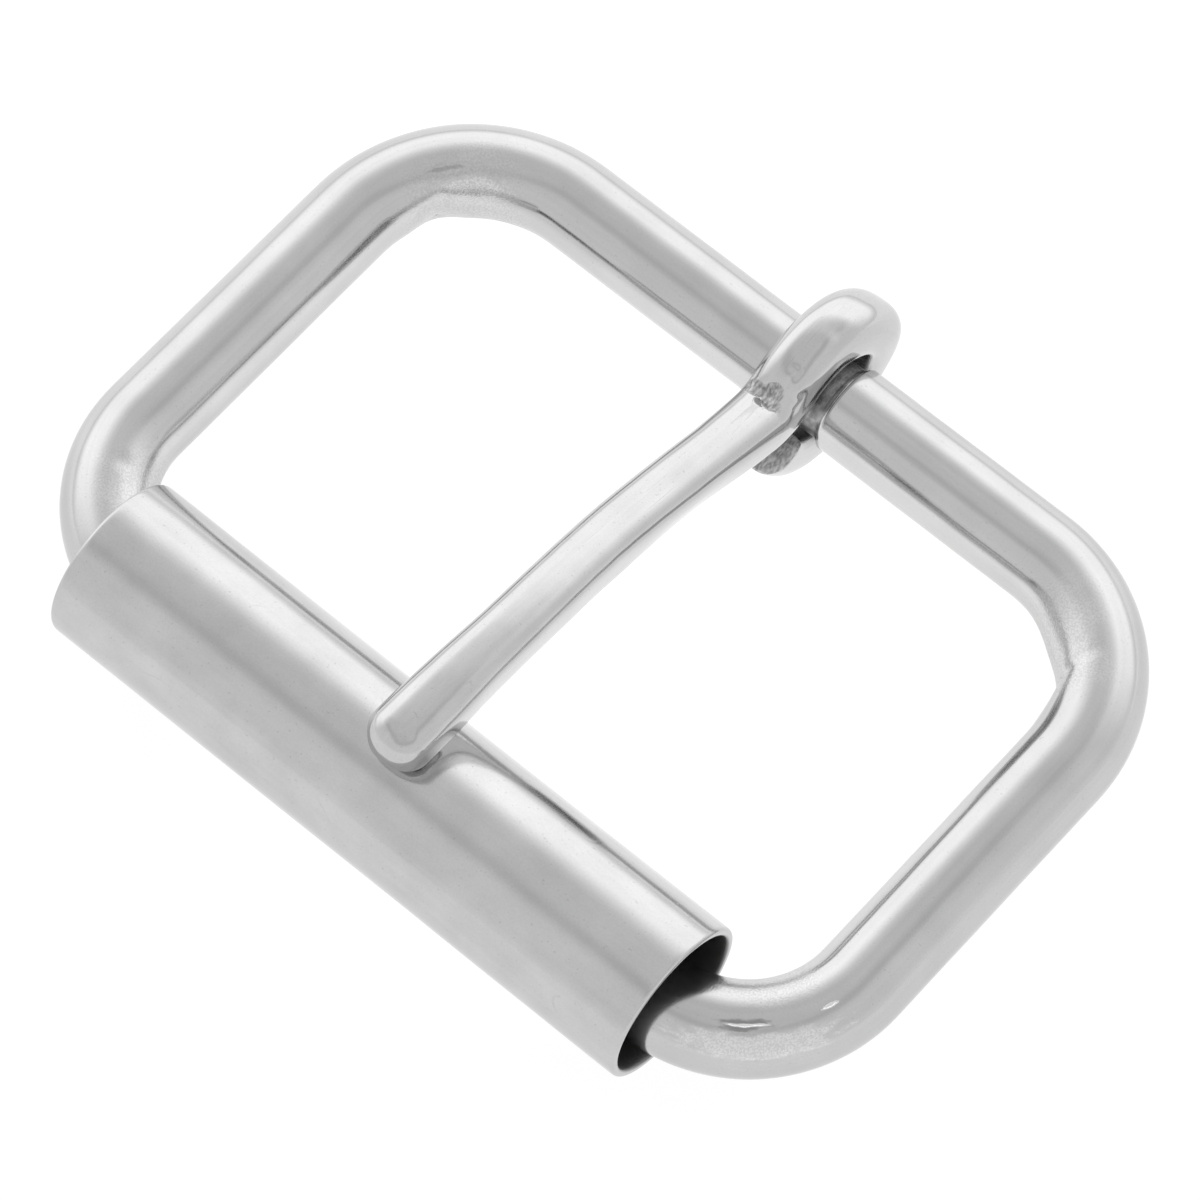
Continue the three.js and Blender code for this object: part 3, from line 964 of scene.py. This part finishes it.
def camera():
    lens = bpy.data.cameras.new("camera")
    lens.lens = CAMERA_LENS
    lens.sensor_width = CAMERA_SENSOR
    lens.clip_start = 0.01
    lens.clip_end = 10
    seen = bpy.data.objects.new("camera", lens)
    bpy.context.scene.collection.objects.link(seen)
    look = (CAMERA_AIM - CAMERA_FROM).to_track_quat("-Z", "Y").to_matrix().to_4x4()
    seen.matrix_world = Matrix.Translation(CAMERA_FROM) @ look @ Matrix.Rotation(CAMERA_ROLL, 4, "Z")
    bpy.context.scene.camera = seen


def far_side(across, along):
    """How far a place, or a direction, lies towards the tent's bright side."""
    return along * FAR_ALONG + across * FAR_ACROSS


def floor():
    """A white sheet that glows by itself, so that it stays white under the piece's own shade."""
    put_down()
    bpy.ops.mesh.primitive_circle_add(vertices=64, radius=FLOOR_R, fill_type="NGON")
    ground = bpy.context.object
    ground.name = "floor"
    finish = Finish(bpy.data.materials.new("white_floor"))
    place = finish.place()
    across, along, _ = finish.parts(place)
    opening = 1 - finish.between(finish.length(place), *OPENING_EDGE)
    beyond = finish.between(far_side(across, along), *BEYOND_EDGE)
    strength = FLOOR_GLOW + opening * OPENING_GLOW + beyond * BEYOND_GLOW
    paper = finish.add("ShaderNodeBsdfDiffuse", {}, {"Color": FLOOR_GREY})
    glow = finish.add("ShaderNodeEmission", {}, {"Color": WHITE, "Strength": strength})
    both = finish.add("ShaderNodeAddShader", {}, {0: paper.outputs[0], 1: glow.outputs[0]})
    finish.add("ShaderNodeOutputMaterial", {}, {"Surface": both.outputs[0]})
    ground.data.materials.append(finish.owner)


def sky():
    """A white tent: bright on the far side, greyer on the near side and overhead."""
    world = bpy.data.worlds.new("tent")
    bpy.context.scene.world = world
    finish = Finish(world)
    direction = finish.add("ShaderNodeTexCoord").outputs["Generated"]
    across, along, height = finish.parts(direction)
    far = far_side(across, along)
    band = finish.between(far, *FAR_EDGE)
    overhead = finish.between(height, *OVERHEAD_EDGE)
    low = finish.between(height, *SKIRT_EDGE)
    seam = finish.between(height, *SEAM_LOW_EDGE) * (1 - finish.between(height, *SEAM_HIGH_EDGE)) * (
        1 - finish.between(far, *SEAM_SIDE_EDGE)) * SEAM_DEPTH
    sides = NEAR_LIGHT + band * FAR_EXTRA
    above = sides * (1 - overhead) + overhead * OVERHEAD_LIGHT
    strength = (1 - seam) * above * low + (1 - low) * SKIRT_LIGHT
    light = finish.add("ShaderNodeBackground", {}, {"Color": WHITE, "Strength": strength})
    finish.add("ShaderNodeOutputWorld", {}, {"Surface": light.outputs[0]})


# --- the whole -------------------------------------------------------------------------------------

camera()
pieces = (
    (bent_frame(), drawn_wire(), "buckle_frame", "frame_body", "frame_metal"),
    (roller_tube(), rolled_tube(), "roller", "roller_body", "roller_metal"),
    (tongue_bar(), filed_bar(), "tongue", "tongue_body", "tongue_metal"),
)
put_down()
for piece, metal, node, body, slot in pieces:
    piece.data.materials.append(metal)
    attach(piece, body)
    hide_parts(node)
floor()
sky()
bpy.context.scene.view_settings.view_transform = "Standard"
